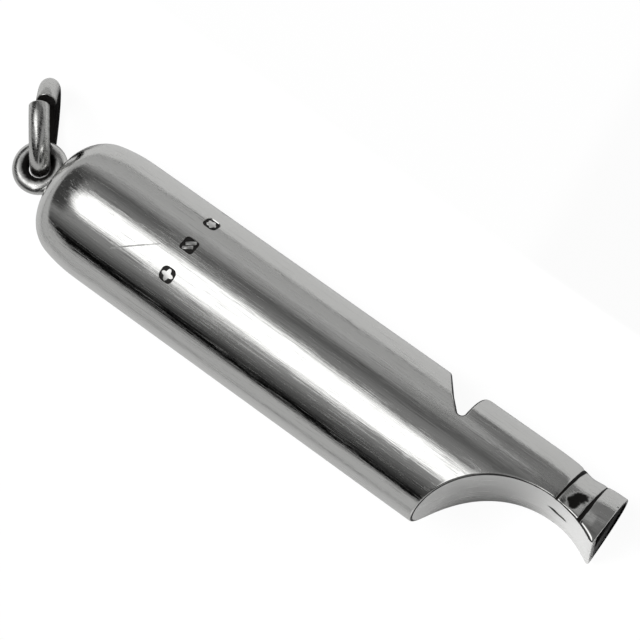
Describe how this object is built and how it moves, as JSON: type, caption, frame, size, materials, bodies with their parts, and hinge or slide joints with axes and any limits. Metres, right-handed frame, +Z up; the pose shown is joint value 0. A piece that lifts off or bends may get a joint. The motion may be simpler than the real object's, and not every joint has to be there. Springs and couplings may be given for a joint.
{
  "type": "sports whistle",
  "caption": "Straight polished silver whistle: domed closed end with a soldered eye and a sprung jump ring, filed window, tooth groove and a half-moon mouth over a hollowed sole.",
  "frame": {"origin": "on the surface that the whistle lies on, under the middle of its bounding box", "axes": "+X runs along the barrel from the eye to the mouth, +Z is up, and +Y makes the third axis. The whistle lies on its side: the window faces +Y and 37.1 degrees down, and the sole faces -Y and up"},
  "size_m": [0.0732, 0.0148, 0.014],
  "materials": {
    "barrel_silver": "polished sterling silver with fine rubbing lines along the barrel",
    "sole_silver": "polished sterling silver, a little duller in the hollow and the windway",
    "eye_silver": "polished sterling silver wire with a smooth solder fillet",
    "ring_silver": "polished sterling silver wire, worn by its own rubbing"
  },
  "bodies": {
    "whistle": {"barrel": "barrel_silver", "end_dome": "barrel_silver", "sole_plate": "sole_silver", "windway_block": "sole_silver", "eye": "eye_silver"},
    "ring": {"jump_ring": "ring_silver"}
  },
  "joints": [
    {"name": "ring_swing", "type": "hinge", "parent": "whistle", "child": "ring", "pos_m": [-0.03108, -0.00044, 0.007], "axis": [0, 0.6036, 0.7973], "range_deg": [-56, 172]}
  ]
}
